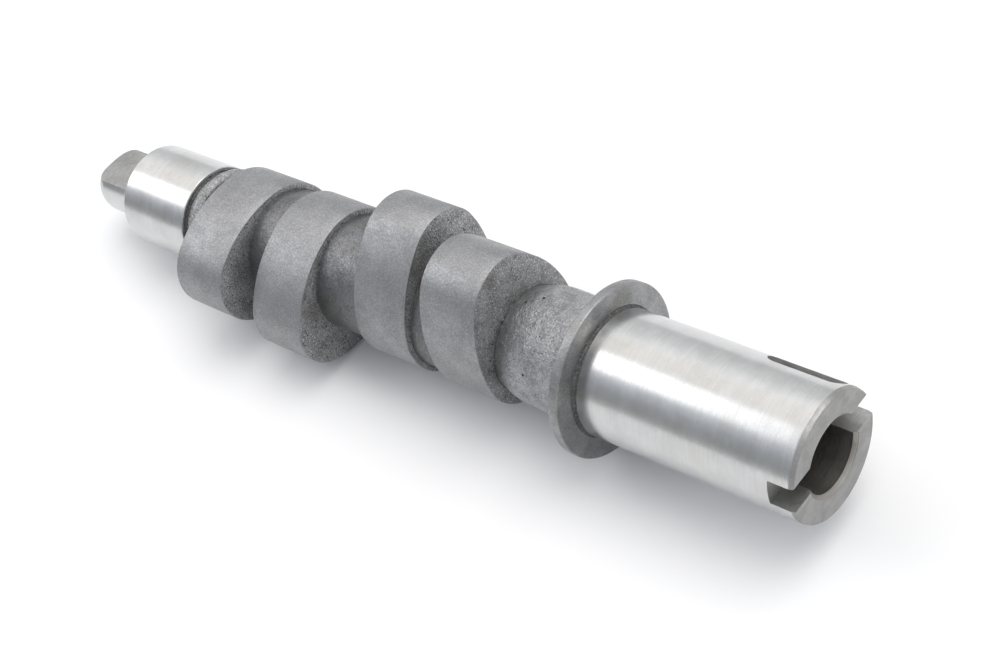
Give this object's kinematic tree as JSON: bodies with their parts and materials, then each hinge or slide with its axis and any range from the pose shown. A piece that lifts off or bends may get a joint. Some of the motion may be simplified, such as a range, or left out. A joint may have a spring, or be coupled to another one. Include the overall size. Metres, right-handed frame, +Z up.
{
  "type": "camshaft",
  "caption": "Small-engine camshaft, with cam lobes in staggered pairs, a thrust flange, ground end journals, a keyed and slotted drive end with a bore, and a flat drive tang.",
  "frame": {"origin": "on the shaft's axis, at the middle of the main journal's bearing length, which runs from the thrust flange to the keyway", "axes": "+X along the shaft's axis, pointing out of the keyed and slotted drive end; +Z up as the shaft lies at rest; +Y completes the right-handed set"},
  "size_m": [0.2289, 0.045, 0.046],
  "materials": {
    "shaft": "ground and as-cast, lightly oiled"
  },
  "bodies": {
    "root": {"camshaft": "shaft"}
  },
  "joints": []
}
